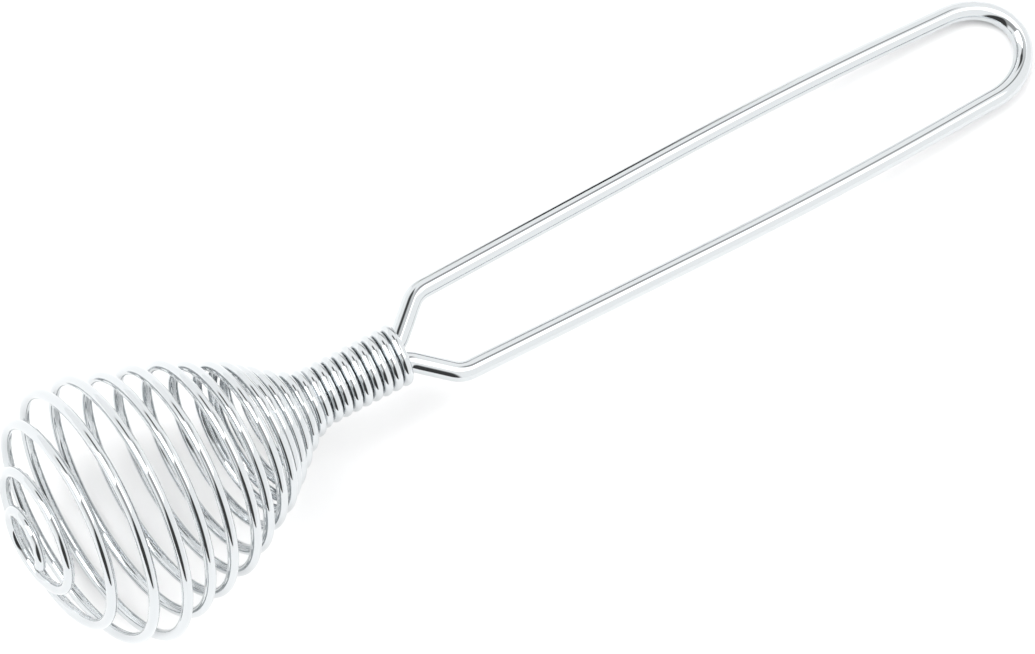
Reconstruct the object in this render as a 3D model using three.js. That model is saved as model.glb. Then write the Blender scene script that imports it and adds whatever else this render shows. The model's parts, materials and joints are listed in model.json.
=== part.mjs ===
// Coil whisk: a hairpin handle of thick wire, gripped by one long coil of thinner wire that opens
// into a balloon-shaped spring head. Millimetres, +Z up.
//
// The whisk is drawn about its own axis: +X runs from the tip of the head to the loop of the handle,
// with 0 where the close-wound neck ends, Y lies across the handle and Z stands square to it.
// It is then tilted and set down, so that the widest turn and the loop touch the table.

import * as THREE from 'three';

// Wires
const handleWire = 3.4;
const coilWire = 1.8;
const handleSides = 10;
const coilSides = 8;

// Handle: the inner ends of its legs lie side by side inside the neck
const legEnd = -17.5;
const legSpacing = 3.46;
const neckBend = { along: 0.8, across: legSpacing / 2, radius: 2.5 };
const shoulderBend = { along: 7.9, across: 7.7, radius: 5 };
const gripBow = { along: 84, across: 9.4, radius: 900 };
const loopStart = { along: 118.5, across: 8.3 };
const loopLength = 10.9;

// Coil: the turns are counted from the wire's end at the tip. Each row gives a turn,
// how far along the axis it lies and its radius, to the centre of the wire
const coilProfile = [
  [0, -71.0, 4.4],
  [1, -68.6, 8.9],
  [2, -65.5, 16.4],
  [3, -60.6, 20.7],
  [4, -55.5, 22.1],
  [5, -50.2, 20.4],
  [6, -45.3, 19.3],
  [7, -40.1, 18.0],
  [8, -36.4, 16.1],
  [9, -32.4, 14.0],
  [10, -29.6, 12.7],
  [11, -27.9, 11.4],
  [12, -26.0, 10.1],
  [13, -23.5, 8.2],
  [14, -20.8, 6.3],
  [15, -18.3, 5.0],
  [16, -16.5, 4.45],
  [25, 1.1, 4.45],
];
const coilTurns = 24.8;
const tipAngle = THREE.MathUtils.degToRad(155);

// The head's centre line bows a little to one side between the neck and the tip
const headBow = 1.1;
const bowStart = -16;

// The neck is a slight oval, because it grips two wires side by side: its flats fade in over these turns
const ovalFrom = 10.5;
const ovalTo = 15.5;
const ovalFlat = 1.2;

// The turns of the neck lean back towards the tip at the top, by this share of their height
const neckLean = 0.14;
const leanFrom = 12;
const leanTo = 16;

// The coil is divided turn by turn, where it crosses the upper side, so that the head can move
const firstCut = 1 + (tipAngle - Math.PI / 2) / (2 * Math.PI);
const openTurns = 9;
const flareTurns = 5;
const cutGap = 0.3;
const stepsPerTurn = 20;
const neckStepsPerTurn = 24;

const steel = { color: 0xd4d6d8, roughness: 0.12, metalness: 1 };


// A path through a list of points, stepped from point to point
class PointPath extends THREE.Curve {
  constructor(points) {
    super();
    this.points = points;
  }

  getPoint(t, target = new THREE.Vector3()) {
    const last = this.points.length - 1;
    const place = THREE.MathUtils.clamp(t, 0, 1) * last;
    const index = Math.min(Math.floor(place), last - 1);
    return target.lerpVectors(this.points[index], this.points[index + 1], place - index);
  }

  getUtoTmapping(u) {
    return u;
  }
}


function roundSection(diameter, sides) {
  const corners = [];
  for (let i = 0; i < sides; i += 1) {
    const angle = ((i + 0.5) / sides) * 2 * Math.PI;
    corners.push(new THREE.Vector2(Math.cos(angle), Math.sin(angle)).multiplyScalar(diameter / 2));
  }
  return new THREE.Shape(corners);
}


function wireMesh(name, points, diameter, sides) {
  const geometry = new THREE.ExtrudeGeometry(roundSection(diameter, sides), {
    steps: points.length - 1,
    extrudePath: new PointPath(points),
  });
  const mesh = new THREE.Mesh(geometry, new THREE.MeshStandardMaterial(steel));
  mesh.name = name;
  return mesh;
}


// Points of a rounded bend at a corner between two straight stretches
function bendPoints(before, corner, after, radius, steps) {
  const back = before.clone().sub(corner).normalize();
  const ahead = after.clone().sub(corner).normalize();
  const halfAngle = back.angleTo(ahead) / 2;
  const tangentLength = radius / Math.tan(halfAngle);
  const centre = back.clone().add(ahead).normalize().multiplyScalar(radius / Math.sin(halfAngle)).add(corner);
  const from = back.clone().multiplyScalar(tangentLength).add(corner).sub(centre);
  const to = ahead.clone().multiplyScalar(tangentLength).add(corner).sub(centre);
  const swept = from.angleTo(to);
  const points = [];
  for (let i = 0; i <= steps; i += 1) {
    const share = i / steps;
    const fromWeight = Math.sin((1 - share) * swept) / Math.sin(swept);
    const toWeight = Math.sin(share * swept) / Math.sin(swept);
    points.push(from.clone().multiplyScalar(fromWeight).addScaledVector(to, toWeight).add(centre));
  }
  return points;
}


// One leg of the handle, from its inner end to the middle of the loop, on the +Y side
function handleLegPoints() {
  const at = ({ along, across }) => new THREE.Vector3(along, across, 0);
  const inner = new THREE.Vector3(legEnd, legSpacing / 2, 0);
  const points = [
    inner,
    ...bendPoints(inner, at(neckBend), at(shoulderBend), neckBend.radius, 5),
    ...bendPoints(at(neckBend), at(shoulderBend), at(gripBow), shoulderBend.radius, 5),
    ...bendPoints(at(shoulderBend), at(gripBow), at(loopStart), gripBow.radius, 6),
  ];
  const loopSteps = 12;
  for (let i = 0; i <= loopSteps; i += 1) {
    const angle = (i / loopSteps) * (Math.PI / 2);
    const along = loopStart.along + loopLength * Math.sin(angle);
    points.push(new THREE.Vector3(along, loopStart.across * Math.cos(angle), 0));
  }
  return points;
}


function handleMesh() {
  const leg = handleLegPoints();
  const otherLeg = leg.slice(0, -1).reverse().map((point) => new THREE.Vector3(point.x, -point.y, point.z));
  return wireMesh('handle_wire', [...leg, ...otherLeg], handleWire, handleSides);
}


// Smooth value between the rows of the profile: column 1 is the place along the axis, 2 the radius
function profileAt(turn, column) {
  const rows = coilProfile;
  let index = 0;
  while (index < rows.length - 2 && turn > rows[index + 1][0]) {
    index += 1;
  }
  const slope = (i) => {
    const low = rows[Math.max(i - 1, 0)];
    const high = rows[Math.min(i + 1, rows.length - 1)];
    return (high[column] - low[column]) / (high[0] - low[0]);
  };
  const span = rows[index + 1][0] - rows[index][0];
  const t = (turn - rows[index][0]) / span;
  const startWeight = 2 * t ** 3 - 3 * t ** 2 + 1;
  const startSlopeWeight = (t ** 3 - 2 * t ** 2 + t) * span;
  const endSlopeWeight = (t ** 3 - t ** 2) * span;
  return rows[index][column] * startWeight + rows[index + 1][column] * (1 - startWeight)
    + slope(index) * startSlopeWeight + slope(index + 1) * endSlopeWeight;
}


// A point on the centre of the coil wire. The turns run left-handed, at an even speed round an oval
// of two half circles joined by flat sides, which have no length in the round head
function coilPoint(turn) {
  const radius = profileAt(turn, 2);
  const flat = ovalFlat * THREE.MathUtils.smoothstep(turn, ovalFrom, ovalTo);
  const corner = radius - flat / 2;
  const halfCircle = Math.PI * corner;
  const lap = 2 * (halfCircle + flat);
  const phase = THREE.MathUtils.euclideanModulo(tipAngle / (2 * Math.PI) - turn, 1);
  let run = THREE.MathUtils.euclideanModulo(phase * lap + halfCircle / 2, lap);
  const side = run < halfCircle + flat ? 1 : -1;
  if (side < 0) {
    run -= halfCircle + flat;
  }
  const angle = Math.min(run, halfCircle) / corner - Math.PI / 2;
  const slide = Math.max(run - halfCircle, 0);
  const across = side * (flat / 2 - slide + corner * Math.cos(angle));
  const up = side * corner * Math.sin(angle);
  const along = profileAt(turn, 1);
  const lean = neckLean * THREE.MathUtils.smoothstep(turn, leanFrom, leanTo);
  const bowShare = THREE.MathUtils.clamp((along - bowStart) / (coilProfile[0][1] - bowStart), 0, 1);
  return new THREE.Vector3(along - lean * up, across - headBow * Math.sin(Math.PI * bowShare), up);
}


// A stretch of the coil, held short of each cut by half of the gap between two pieces
function coilMesh(name, fromTurn, toTurn, steps) {
  const trim = (turn, radius) => (turn > 0 && turn < coilTurns ? cutGap / 2 / (2 * Math.PI * radius) : 0);
  const start = fromTurn + trim(fromTurn, profileAt(fromTurn, 2));
  const end = toTurn - trim(toTurn, profileAt(toTurn, 2));
  const points = [];
  for (let i = 0; i <= steps; i += 1) {
    points.push(coilPoint(start + ((end - start) * i) / steps));
  }
  return wireMesh(name, points, coilWire, coilSides);
}


function coilMeshes() {
  const flareStart = firstCut + openTurns;
  const neckStart = flareStart + flareTurns;
  const meshes = [coilMesh('coil_tip', 0, firstCut, Math.ceil(firstCut * stepsPerTurn))];
  for (let i = 0; i < openTurns; i += 1) {
    const name = `coil_turn_${i + 1}`;
    meshes.push(coilMesh(name, firstCut + i, firstCut + i + 1, stepsPerTurn));
  }
  meshes.push(coilMesh('coil_flare', flareStart, neckStart, flareTurns * stepsPerTurn));
  const neckSteps = Math.round((coilTurns - neckStart) * neckStepsPerTurn);
  meshes.push(coilMesh('coil_neck', neckStart, coilTurns, neckSteps));
  return meshes;
}


// Tilt at which the widest turn and the end of the loop stand on the same level
function restingTilt() {
  const widest = coilProfile.reduce((best, row) => (row[2] > best[2] ? row : best));
  const drop = widest[2] + coilWire / 2;
  const run = loopStart.along + loopLength - widest[1];
  const slant = Math.hypot(run, drop);
  return Math.asin(drop / slant) - Math.asin(handleWire / 2 / slant);
}


const axisGroup = new THREE.Group();
axisGroup.add(handleMesh(), ...coilMeshes());
axisGroup.rotation.y = restingTilt();

const whisk = new THREE.Group();
whisk.add(axisGroup);
whisk.updateMatrixWorld(true);
const box = new THREE.Box3().setFromObject(whisk, true);
const centre = box.getCenter(new THREE.Vector3());
axisGroup.position.set(-centre.x, -centre.y, -box.min.z);

export default whisk;
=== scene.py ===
"""Coil whisk of bright steel wire, lying on a pale table in soft studio light."""

import json
import math

import bmesh
import bpy
import numpy as np
from mathutils import Matrix, Vector


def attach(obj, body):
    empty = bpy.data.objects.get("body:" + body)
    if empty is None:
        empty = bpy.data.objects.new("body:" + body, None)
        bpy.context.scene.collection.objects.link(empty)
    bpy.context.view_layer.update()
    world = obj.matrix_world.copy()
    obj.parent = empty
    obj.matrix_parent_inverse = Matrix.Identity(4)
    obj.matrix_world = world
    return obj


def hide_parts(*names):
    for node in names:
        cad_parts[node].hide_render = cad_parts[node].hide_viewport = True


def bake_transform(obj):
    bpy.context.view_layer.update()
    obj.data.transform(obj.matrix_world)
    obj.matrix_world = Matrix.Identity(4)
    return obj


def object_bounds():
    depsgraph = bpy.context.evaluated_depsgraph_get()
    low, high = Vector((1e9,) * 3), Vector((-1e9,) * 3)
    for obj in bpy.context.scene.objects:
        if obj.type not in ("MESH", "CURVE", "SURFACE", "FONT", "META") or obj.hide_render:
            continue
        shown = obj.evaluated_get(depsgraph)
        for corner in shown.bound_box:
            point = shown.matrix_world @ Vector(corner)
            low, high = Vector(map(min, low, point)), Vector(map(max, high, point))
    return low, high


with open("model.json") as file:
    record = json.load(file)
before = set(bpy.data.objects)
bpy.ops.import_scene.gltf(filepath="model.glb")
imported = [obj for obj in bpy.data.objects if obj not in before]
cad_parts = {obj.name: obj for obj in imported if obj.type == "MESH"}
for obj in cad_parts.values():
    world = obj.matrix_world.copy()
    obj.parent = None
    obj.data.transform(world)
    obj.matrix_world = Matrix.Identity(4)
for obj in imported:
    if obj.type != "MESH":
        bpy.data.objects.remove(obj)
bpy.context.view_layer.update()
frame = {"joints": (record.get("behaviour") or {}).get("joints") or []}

MM = 0.001

# ---------------------------------------------------------------- the whisk's own axis in the frame

joint_named = {joint["name"]: joint for joint in frame["joints"]}
HINGE_ALONG = -29.2 * MM
ALONG = np.array(joint_named["squeeze_3"]["axis"], float)
ALONG /= np.linalg.norm(ALONG)
ACROSS = np.array([0.0, 1.0, 0.0])
UP = np.cross(ALONG, ACROSS)
ORIGIN = np.array(joint_named["side_flex"]["pos_m"], float) - HINGE_ALONG * ALONG


def in_frame(points):
    """Points given along, across and above the whisk's axis, in millimetres, as points of the frame."""
    points = np.asarray(points, float) * MM
    return ORIGIN + points[:, :1] * ALONG + points[:, 1:2] * ACROSS + points[:, 2:3] * UP


# ---------------------------------------------------------------- sizes, in millimetres, as in the CAD
# A place is given along the axis and across it, and a bend has its radius as a third value

HANDLE_WIRE = 3.4
COIL_WIRE = 1.8
LEG_SPACING = 3.46
LEG_END = -17.5
NECK_BEND = (0.8, LEG_SPACING / 2, 2.5)
SHOULDER_BEND = (7.9, 7.7, 5)
GRIP_BOW = (84, 9.4, 900)
LOOP_START = (118.5, 8.3)
LOOP_LENGTH = 10.9

COIL_PROFILE = np.array([
    (0, -71.0, 4.4), (1, -68.6, 8.9), (2, -65.5, 16.4), (3, -60.6, 20.7), (4, -55.5, 22.1),
    (5, -50.2, 20.4), (6, -45.3, 19.3), (7, -40.1, 18.0), (8, -36.4, 16.1), (9, -32.4, 14.0),
    (10, -29.6, 12.7), (11, -27.9, 11.4), (12, -26.0, 10.1), (13, -23.5, 8.2), (14, -20.8, 6.3),
    (15, -18.3, 5.0), (16, -16.5, 4.45), (25, 1.1, 4.45)])
COIL_TURNS = 24.8
TIP_ANGLE = math.radians(155)
HEAD_BOW = 1.1
BOW_START = -16
OVAL_FROM = 10.5
OVAL_TO = 15.5
OVAL_FLAT = 1.2
NECK_LEAN = 0.14
LEAN_FROM = 12
LEAN_TO = 16
FIRST_CUT = 1 + (TIP_ANGLE - math.pi / 2) / (2 * math.pi)
OPEN_TURNS = 9

# Where the steps of a curve are fine enough to look round
STEPS_PER_TURN = 96
COIL_SIDES = 28
HANDLE_SIDES = 40
BEND_STEPS = 24
LOOP_STEPS = 60
HANDLE_STEP = 0.5

# The coil is drawn in pieces that change over a quarter of a turn before and after each cut
QUARTER_TURN = 0.25

# Colours and lights
STEEL_TINT = (0.615, 0.638, 0.652)
STEEL_ROUGHNESS = 0.06
DRAW_LINE_SHADE = 0.93
TABLE_WHITE = (0.92, 0.95)
TABLE_SIZE = 6.0
CARD_BLACK = 0.02
CARD_WHITE = 0.95

# Camera: where it looks on the table in millimetres, from where in degrees, and how far away
CAMERA_AIM = (-5.0, -2.1)
CAMERA_AZIMUTH = -154.12
CAMERA_ELEVATION = 71.7
CAMERA_ROLL = 34.34
CAMERA_DISTANCE = 835.2
CAMERA_LENS = 173.9


# ---------------------------------------------------------------- centre lines

def smooth_step(x, low, high):
    t = np.clip((x - low) / (high - low), 0, 1)
    return t * t * (3 - 2 * t)


def profile_at(turn, column):
    """The coil's place along the axis (column 1) or radius (column 2), smooth between the profile's rows."""
    rows = COIL_PROFILE[:, 0]
    values = COIL_PROFILE[:, column]
    last = len(rows) - 1
    index = np.clip(np.searchsorted(rows, turn, side="left") - 1, 0, last - 1)

    def slope(i):
        low = np.maximum(i - 1, 0)
        high = np.minimum(i + 1, last)
        return (values[high] - values[low]) / (rows[high] - rows[low])

    span = rows[index + 1] - rows[index]
    t = (turn - rows[index]) / span
    start_weight = 2 * t ** 3 - 3 * t ** 2 + 1
    return (values[index] * start_weight + values[index + 1] * (1 - start_weight)
            + slope(index) * (t ** 3 - 2 * t ** 2 + t) * span
            + slope(index + 1) * (t ** 3 - t ** 2) * span)


def coil_points(turn):
    """Centre of the coil wire: an oval of two half circles and two flats, which shrink away in the head.
    The neck's turns lean back towards the tip at the top."""
    along = profile_at(turn, 1)
    radius = profile_at(turn, 2)
    flat = OVAL_FLAT * smooth_step(turn, OVAL_FROM, OVAL_TO)
    corner = radius - flat / 2
    half_circle = np.pi * corner
    lap = 2 * (half_circle + flat)
    phase = np.mod(TIP_ANGLE / (2 * np.pi) - turn, 1)
    run = np.mod(phase * lap + half_circle / 2, lap)
    side = np.where(run < half_circle + flat, 1.0, -1.0)
    run = np.where(side < 0, run - half_circle - flat, run)
    angle = np.minimum(run, half_circle) / corner - np.pi / 2
    slide = np.maximum(run - half_circle, 0)
    across = side * (flat / 2 - slide + corner * np.cos(angle))
    up = side * corner * np.sin(angle)
    lean = NECK_LEAN * smooth_step(turn, LEAN_FROM, LEAN_TO)
    bow_share = np.clip((along - BOW_START) / (COIL_PROFILE[0, 1] - BOW_START), 0, 1)
    return np.stack([along - lean * up, across - HEAD_BOW * np.sin(np.pi * bow_share), up], axis=1)


def bend_points(before, corner, after, radius, steps):
    """Points of a rounded bend at a corner between two straight stretches."""
    before, corner, after = (np.array(p, float) for p in (before, corner, after))
    back = (before - corner) / np.linalg.norm(before - corner)
    ahead = (after - corner) / np.linalg.norm(after - corner)
    half_angle = math.acos(max(-1.0, min(1.0, float(back @ ahead)))) / 2
    middle = (back + ahead) / np.linalg.norm(back + ahead)
    centre = corner + middle * radius / math.sin(half_angle)
    start = corner + back * radius / math.tan(half_angle) - centre
    end = corner + ahead * radius / math.tan(half_angle) - centre
    swept = math.pi - 2 * half_angle
    share = np.linspace(0, 1, steps + 1)[:, None]
    return centre + (start * np.sin((1 - share) * swept) + end * np.sin(share * swept)) / math.sin(swept)


def even_steps(points, step):
    """The same line with its points at about equal steps."""
    length = np.concatenate([[0], np.cumsum(np.linalg.norm(np.diff(points, axis=0), axis=1))])
    wanted = np.linspace(0, length[-1], max(2, int(round(length[-1] / step)) + 1))
    return np.stack([np.interp(wanted, length, points[:, i]) for i in range(points.shape[1])], axis=1)


def handle_points():
    """Centre of the handle wire: from one inner end, round the loop, to the other inner end."""
    inner = (LEG_END, LEG_SPACING / 2)
    neck, shoulder, grip = NECK_BEND[:2], SHOULDER_BEND[:2], GRIP_BOW[:2]
    angle = np.linspace(0, math.pi / 2, LOOP_STEPS)[:, None]
    loop = np.hstack([LOOP_START[0] + LOOP_LENGTH * np.sin(angle), LOOP_START[1] * np.cos(angle)])
    leg = np.vstack([
        [inner],
        bend_points(inner, neck, shoulder, NECK_BEND[2], BEND_STEPS),
        bend_points(neck, shoulder, grip, SHOULDER_BEND[2], BEND_STEPS),
        bend_points(shoulder, grip, LOOP_START, GRIP_BOW[2], BEND_STEPS),
        loop])
    other = leg[:-1][::-1] * (1, -1)
    line = even_steps(np.vstack([leg, other]), HANDLE_STEP)
    return np.hstack([line, np.zeros((len(line), 1))])


# ---------------------------------------------------------------- wires as meshes

class Wire:
    """A round wire along a line of points: at each point its tangent, two directions square to it
    and the length so far."""

    def __init__(self, points_mm, diameter_mm, sides):
        self.points = in_frame(points_mm)
        self.radius = diameter_mm * MM / 2
        self.sides = sides
        tangent = np.gradient(self.points, axis=0)
        self.tangent = tangent / np.linalg.norm(tangent, axis=1)[:, None]
        step = np.linalg.norm(np.diff(self.points, axis=0), axis=1)
        self.run = np.concatenate([[0], np.cumsum(step)])
        side = np.cross(self.tangent[0], UP)
        sides_of = []
        for direction in self.tangent:
            side = side - direction * (side @ direction)
            side = side / np.linalg.norm(side)
            sides_of.append(side)
        self.first = np.array(sides_of)
        self.second = np.cross(self.tangent, self.first)

    def piece(self, name, start, end, material, slot):
        """A closed mesh of the wire from point number start to point number end."""
        angle = np.arange(self.sides) / self.sides * 2 * np.pi
        index = np.arange(start, end + 1)
        outward = (self.first[index][:, None] * np.cos(angle)[None, :, None]
                   + self.second[index][:, None] * np.sin(angle)[None, :, None])
        rings = self.points[index][:, None] + outward * self.radius
        unrolled = np.stack(np.broadcast_arrays(
            np.cos(angle)[None, :] * self.radius,
            np.sin(angle)[None, :] * self.radius,
            self.run[index][:, None]), axis=2)
        count, sides = len(index), self.sides
        vertices = [rings.reshape(-1, 3)]
        normals = [outward.reshape(-1, 3)]
        places = [unrolled.reshape(-1, 3)]
        faces = []
        for ring in range(count - 1):
            for k in range(sides):
                after = (k + 1) % sides
                low, high = ring * sides, (ring + 1) * sides
                faces.append((low + k, low + after, high + after, high + k))
        for end_ring, way in ((0, -1), (count - 1, 1)):
            base = sum(len(v) for v in vertices)
            vertices.append(rings[end_ring])
            normals.append(np.repeat(self.tangent[index[end_ring]][None] * way, sides, axis=0))
            places.append(unrolled[end_ring])
            loop = [base + k for k in range(sides)]
            faces.append(tuple(loop if way > 0 else loop[::-1]))
        mesh = bpy.data.meshes.new(name)
        mesh.from_pydata(np.vstack(vertices).tolist(), [], faces)
        mesh.polygons.foreach_set("use_smooth", [True] * len(mesh.polygons))
        mesh.normals_split_custom_set_from_vertices(np.vstack(normals).tolist())
        attribute = mesh.attributes.new("wire_place", "FLOAT_VECTOR", "POINT")
        attribute.data.foreach_set("vector", np.vstack(places).astype(np.float32).ravel())
        mesh.materials.append(material)
        mesh.update()
        piece = bpy.data.objects.new(name, mesh)
        bpy.context.scene.collection.objects.link(piece)
        return piece


# ---------------------------------------------------------------- materials

def steel(name, tint, roughness):
    """Bright drawn wire: a mirror finish with faint draw lines along it and a little uneven polish."""
    material = bpy.data.materials.new(name)
    material.use_nodes = True
    nodes = material.node_tree.nodes
    links = material.node_tree.links
    shader = nodes["Principled BSDF"]
    shader.inputs["Metallic"].default_value = 1.0
    place = nodes.new("ShaderNodeAttribute")
    place.attribute_name = "wire_place"

    stretch = nodes.new("ShaderNodeVectorMath")
    stretch.operation = "MULTIPLY"
    across, along = 9000, 60
    stretch.inputs[1].default_value = (across, across, along)
    links.new(place.outputs["Vector"], stretch.inputs[0])
    lines = nodes.new("ShaderNodeTexNoise")
    lines.inputs["Scale"].default_value = 1.0
    lines.inputs["Detail"].default_value = 3.0
    links.new(stretch.outputs[0], lines.inputs["Vector"])

    cloudy = nodes.new("ShaderNodeTexNoise")
    cloudy.inputs["Scale"].default_value = 260.0
    cloudy.inputs["Detail"].default_value = 2.0
    links.new(place.outputs["Vector"], cloudy.inputs["Vector"])

    polish = nodes.new("ShaderNodeMapRange")
    polish.inputs["To Min"].default_value = roughness * 0.7
    polish.inputs["To Max"].default_value = roughness * 1.4
    links.new(cloudy.outputs["Fac"], polish.inputs["Value"])
    links.new(polish.outputs["Result"], shader.inputs["Roughness"])

    shade = nodes.new("ShaderNodeMix")
    shade.data_type = "RGBA"
    shade.inputs[6].default_value = (*tint, 1)
    shade.inputs[7].default_value = (*(c * DRAW_LINE_SHADE for c in tint), 1)
    links.new(lines.outputs["Fac"], shade.inputs[0])
    links.new(shade.outputs[2], shader.inputs["Base Color"])

    bump = nodes.new("ShaderNodeBump")
    bump.inputs["Strength"].default_value = 0.04
    bump.inputs["Distance"].default_value = 0.00002
    links.new(lines.outputs["Fac"], bump.inputs["Height"])
    links.new(bump.outputs["Normal"], shader.inputs["Normal"])
    return material


def table_top():
    """Matt white surface with a barely visible mottle."""
    material = bpy.data.materials.new("table_top")
    material.use_nodes = True
    nodes = material.node_tree.nodes
    links = material.node_tree.links
    shader = nodes["Principled BSDF"]
    shader.inputs["Roughness"].default_value = 0.7
    mottle = nodes.new("ShaderNodeTexNoise")
    mottle.inputs["Scale"].default_value = 18.0
    shade = nodes.new("ShaderNodeMix")
    shade.data_type = "RGBA"
    for socket, white in zip((6, 7), TABLE_WHITE):
        shade.inputs[socket].default_value = (white, white, white, 1)
    links.new(mottle.outputs["Fac"], shade.inputs[0])
    links.new(shade.outputs[2], shader.inputs["Base Color"])
    return material


# ---------------------------------------------------------------- the whisk

def build_handle(material):
    wire = Wire(handle_points(), HANDLE_WIRE, HANDLE_SIDES)
    piece = wire.piece("handle_loop", 0, len(wire.points) - 1, material, "handle_steel")
    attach(piece, "handle")
    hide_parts("handle_wire")


def body_of_turn(number):
    """The CAD body that holds a numbered turn of the head; the turns above the last one are on the handle."""
    if number > OPEN_TURNS:
        return "handle"
    return "head_end" if number == 1 else f"head_turn_{number}"


def build_coil(material):
    """The coil as one smooth wire, in pieces: each lower half turn rides on its body, and each upper half
    turn, over the place where two bodies meet, is a piece of its own that rides on no body."""
    count = int(round(COIL_TURNS * STEPS_PER_TURN))
    turns = np.linspace(0, COIL_TURNS, count + 1)
    wire = Wire(coil_points(turns), COIL_WIRE, COIL_SIDES)

    def point_at(turn):
        return int(round(turn / COIL_TURNS * count))

    first_bend = FIRST_CUT + 1
    piece = wire.piece("coil_end", 0, point_at(first_bend - QUARTER_TURN), material, "coil_steel")
    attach(piece, "head_end")
    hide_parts("coil_tip", "coil_turn_1")
    for number in range(1, OPEN_TURNS + 1):
        cut = FIRST_CUT + number
        start, end = point_at(cut - QUARTER_TURN), point_at(cut + QUARTER_TURN)
        bend = wire.piece(f"coil_bend_{number}", start, end, material, "coil_steel")
        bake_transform(bend)
        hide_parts(f"coil_turn_{number}")
        if number < OPEN_TURNS:
            next_bend = point_at(cut + 1 - QUARTER_TURN)
            half = wire.piece(f"coil_half_{number + 1}", end, next_bend, material, "coil_steel")
            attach(half, body_of_turn(number + 1))
            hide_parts(f"coil_turn_{number + 1}")
    grip_start = point_at(FIRST_CUT + OPEN_TURNS + QUARTER_TURN)
    last = wire.piece("coil_grip", grip_start, count, material, "coil_steel")
    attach(last, "handle")
    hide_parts("coil_flare", "coil_neck")


# ---------------------------------------------------------------- table, light and camera

def build_table():
    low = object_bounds()[0].z
    mesh = bpy.data.meshes.new("table")
    reach = TABLE_SIZE
    corners = [(-reach, -reach, low), (reach, -reach, low), (reach, reach, low), (-reach, reach, low)]
    mesh.from_pydata(corners, [], [(0, 1, 2, 3)])
    mesh.materials.append(table_top())
    table = bpy.data.objects.new("table", mesh)
    bpy.context.scene.collection.objects.link(table)


def card_paint(middle, half_length):
    """Matt paint that is black at the middle of the card and fades to white at its two ends."""
    material = bpy.data.materials.new("dark_card")
    material.use_nodes = True
    nodes = material.node_tree.nodes
    links = material.node_tree.links
    split = nodes.new("ShaderNodeSeparateXYZ")
    links.new(nodes.new("ShaderNodeTexCoord").outputs["Object"], split.inputs[0])
    offset = nodes.new("ShaderNodeMath")
    offset.operation = "SUBTRACT"
    offset.inputs[1].default_value = middle
    links.new(split.outputs["X"], offset.inputs[0])
    distance = nodes.new("ShaderNodeMath")
    distance.operation = "ABSOLUTE"
    links.new(offset.outputs[0], distance.inputs[0])
    fade = nodes.new("ShaderNodeMapRange")
    fade.interpolation_type = "SMOOTHSTEP"
    fade.inputs["From Min"].default_value = half_length * 0.1
    fade.inputs["From Max"].default_value = half_length
    fade.inputs["To Min"].default_value = CARD_BLACK
    fade.inputs["To Max"].default_value = CARD_WHITE
    links.new(distance.outputs[0], fade.inputs["Value"])
    links.new(fade.outputs["Result"], nodes["Principled BSDF"].inputs["Base Color"])
    return material


def build_dark_card():
    """A low card beside the handle, out of the camera's sight: it only shows in the bright wire."""
    middle, half_length, beside, height = 0.03, 0.05, 0.05, 0.02
    left, right = middle - half_length, middle + half_length
    mesh = bpy.data.meshes.new("dark_card")
    mesh.from_pydata([(left, beside, 0), (right, beside, 0), (right, beside, height), (left, beside, height)],
                     [], [(0, 1, 2, 3)])
    mesh.materials.append(card_paint(middle, half_length))
    card = bpy.data.objects.new("dark_card", mesh)
    card.visible_camera = False
    card.visible_diffuse = False
    card.visible_shadow = False
    bpy.context.scene.collection.objects.link(card)


# Soft patches of the studio overhead, seen from the whisk. Each has the place of its middle in the
# sky (along +X and +Y of the unit direction), its half sizes, its turn in degrees, the width of its
# soft edge and its brightness. Later patches lie in front of earlier ones
SKY_BRIGHTNESS = 1.33
STUDIO = [
    ("camera_side", (-0.62, -0.70), (0.42, 0.38), 0, 0.16, 0.07),
    ("camera", (-0.42, -0.12), (0.30, 0.24), 0, 0.08, 0.5),
    ("far_wall", (0.12, 0.36), (0.40, 0.26), -20, 0.12, 0.93),
    ("far_edge", (0.48, 0.42), (0.12, 0.09), 0, 0.10, 0.33),
    ("far_gap", (0.00, 0.70), (0.20, 0.13), 0, 0.08, 0.09),
    ("gap_left", (-0.05, 0.36), (0.06, 0.28), 0, 0.03, 0.33),
    ("box_right", (0.31, -0.10), (0.28, 0.23), 10, 0.04, 3.1),
    ("box_left", (-0.44, 0.34), (0.34, 0.21), 0, 0.04, 5.9),
]


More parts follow.
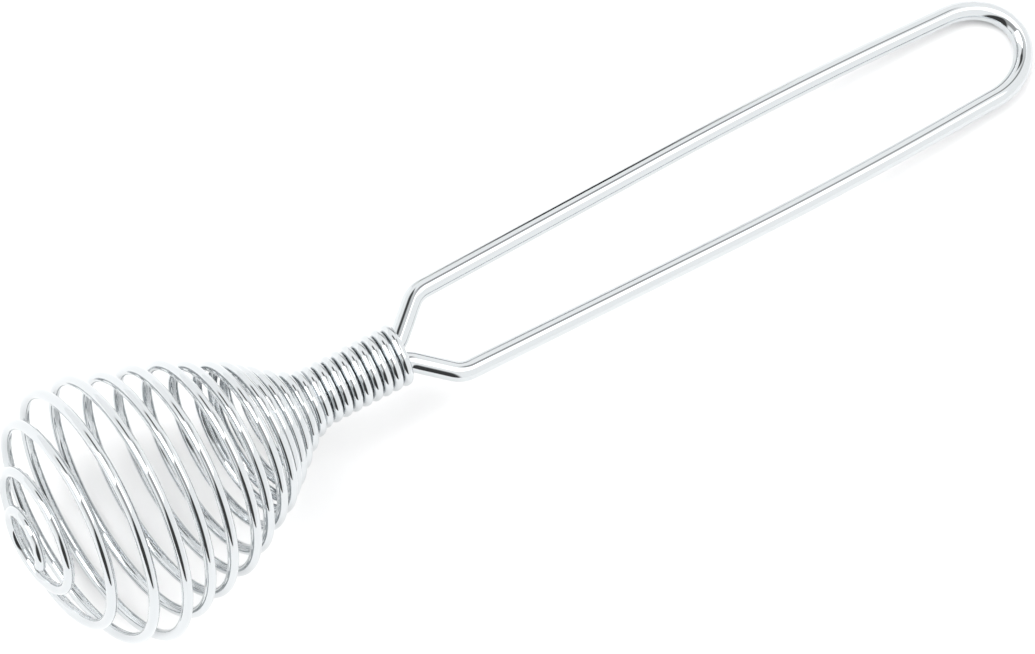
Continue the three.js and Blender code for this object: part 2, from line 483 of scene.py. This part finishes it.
def sky_patch(nodes, links, direction, behind, middle, half_sizes, turned, edge, brightness):
    """Blends one patch over the brightness behind it, and returns the result."""
    place = nodes.new("ShaderNodeMapping")
    place.vector_type = "TEXTURE"
    place.inputs["Location"].default_value = (*middle, 0)
    place.inputs["Rotation"].default_value = (0, 0, math.radians(turned))
    links.new(direction, place.inputs["Vector"])
    distance = nodes.new("ShaderNodeVectorMath")
    distance.operation = "ABSOLUTE"
    links.new(place.outputs["Vector"], distance.inputs[0])
    split = nodes.new("ShaderNodeSeparateXYZ")
    links.new(distance.outputs[0], split.inputs[0])
    cover = None
    for axis, half in zip("XY", half_sizes):
        inside = nodes.new("ShaderNodeMapRange")
        inside.interpolation_type = "SMOOTHSTEP"
        inside.inputs["From Min"].default_value = half - edge / 2
        inside.inputs["From Max"].default_value = half + edge / 2
        inside.inputs["To Min"].default_value = 1
        inside.inputs["To Max"].default_value = 0
        links.new(split.outputs[axis], inside.inputs["Value"])
        if cover is None:
            cover = inside.outputs["Result"]
        else:
            both = nodes.new("ShaderNodeMath")
            both.operation = "MULTIPLY"
            links.new(cover, both.inputs[0])
            links.new(inside.outputs["Result"], both.inputs[1])
            cover = both.outputs[0]
    blend = nodes.new("ShaderNodeMix")
    links.new(cover, blend.inputs[0])
    if behind is None:
        blend.inputs[2].default_value = SKY_BRIGHTNESS
    else:
        links.new(behind, blend.inputs[2])
    blend.inputs[3].default_value = brightness
    return blend.outputs[0]


def build_light():
    """A bright studio: white all round, two soft boxes, and the darker places between them."""
    world = bpy.data.worlds.new("studio")
    bpy.context.scene.world = world
    world.use_nodes = True
    nodes = world.node_tree.nodes
    links = world.node_tree.links
    direction = nodes.new("ShaderNodeTexCoord").outputs["Generated"]
    brightness = None
    for _, *patch in STUDIO:
        brightness = sky_patch(nodes, links, direction, brightness, *patch)
    links.new(brightness, nodes["Background"].inputs["Strength"])
    nodes["Background"].inputs["Color"].default_value = (1, 1, 1, 1)


def build_camera():
    data = bpy.data.cameras.new("camera")
    camera = bpy.data.objects.new("camera", data)
    bpy.context.scene.collection.objects.link(camera)
    bpy.context.scene.camera = camera
    data.sensor_width = 36
    data.lens = CAMERA_LENS
    data.clip_start = 0.01
    data.clip_end = 20
    azimuth = math.radians(CAMERA_AZIMUTH)
    elevation = math.radians(CAMERA_ELEVATION)
    roll = math.radians(CAMERA_ROLL)
    level = math.cos(elevation)
    back = Vector((level * math.cos(azimuth), level * math.sin(azimuth), math.sin(elevation)))
    level_right = Vector((-math.sin(azimuth), math.cos(azimuth), 0))
    right = level_right * math.cos(roll) + back.cross(level_right) * math.sin(roll)
    turn = Matrix((right, back.cross(right), back)).transposed()
    place = Vector((*CAMERA_AIM, 0)) * MM + back * CAMERA_DISTANCE * MM
    camera.matrix_world = Matrix.Translation(place) @ turn.to_4x4()


build_handle(steel("handle_steel", STEEL_TINT, STEEL_ROUGHNESS))
build_coil(steel("coil_steel", STEEL_TINT, STEEL_ROUGHNESS))
build_table()
build_dark_card()
build_light()
build_camera()
bpy.context.scene.view_settings.view_transform = "Standard"
